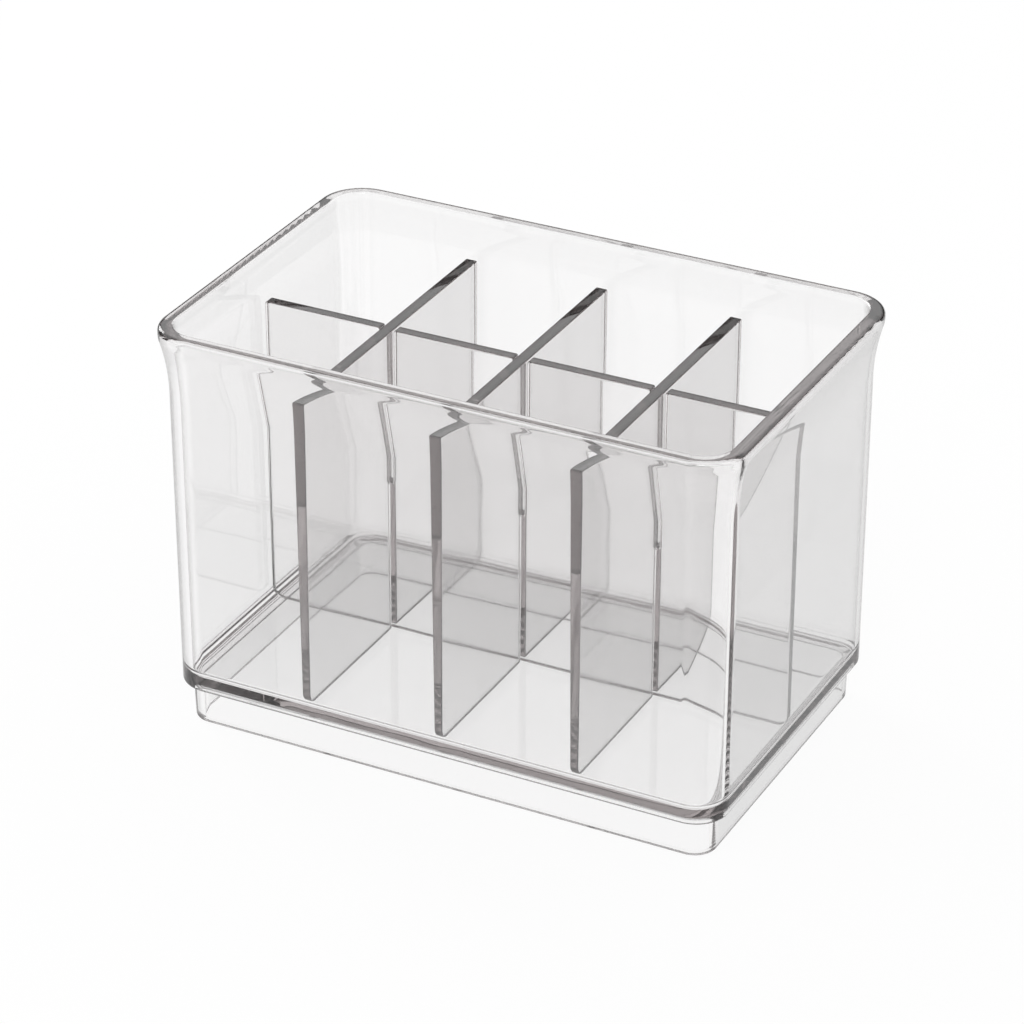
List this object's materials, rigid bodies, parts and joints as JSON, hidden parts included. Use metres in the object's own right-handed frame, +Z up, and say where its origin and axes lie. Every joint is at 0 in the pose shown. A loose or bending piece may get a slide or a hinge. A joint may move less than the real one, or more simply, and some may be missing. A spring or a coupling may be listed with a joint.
{
  "type": "drawer divider bin",
  "caption": "Clear stackable vanity bin with a flared rim and inset foot, and a lift-out drawer divider insert of interlocking slotted plates for lipsticks.",
  "frame": {"origin": "on the table under the middle of the bin", "axes": "+X along the bin's longer side and the long divider, +Y to the back, +Z up"},
  "size_m": [0.122, 0.079, 0.086],
  "materials": {
    "clear_styrene_bin": "clear gloss, injection moulded",
    "clear_styrene_long_divider": "clear gloss, injection moulded",
    "clear_styrene_left_divider": "clear gloss, injection moulded",
    "clear_styrene_middle_divider": "clear gloss, injection moulded",
    "clear_styrene_right_divider": "clear gloss, injection moulded"
  },
  "bodies": {
    "bin": {"stackable_bin": "clear_styrene_bin"},
    "long_plate": {"long_divider": "clear_styrene_long_divider"},
    "left_plate": {"cross_divider_left": "clear_styrene_left_divider"},
    "middle_plate": {"cross_divider_middle": "clear_styrene_middle_divider"},
    "right_plate": {"cross_divider_right": "clear_styrene_right_divider"}
  },
  "joints": [
    {"name": "insert_lift", "type": "slide", "parent": "bin", "child": "long_plate", "axis": [0, 0, 1], "range_m": [0, 0.08]},
    {"name": "left_plate_lift", "type": "slide", "parent": "long_plate", "child": "left_plate", "axis": [0, 0, 1], "range_m": [0, 0.08]},
    {"name": "middle_plate_lift", "type": "slide", "parent": "long_plate", "child": "middle_plate", "axis": [0, 0, 1], "range_m": [0, 0.08]},
    {"name": "right_plate_lift", "type": "slide", "parent": "long_plate", "child": "right_plate", "axis": [0, 0, 1], "range_m": [0, 0.08]}
  ]
}
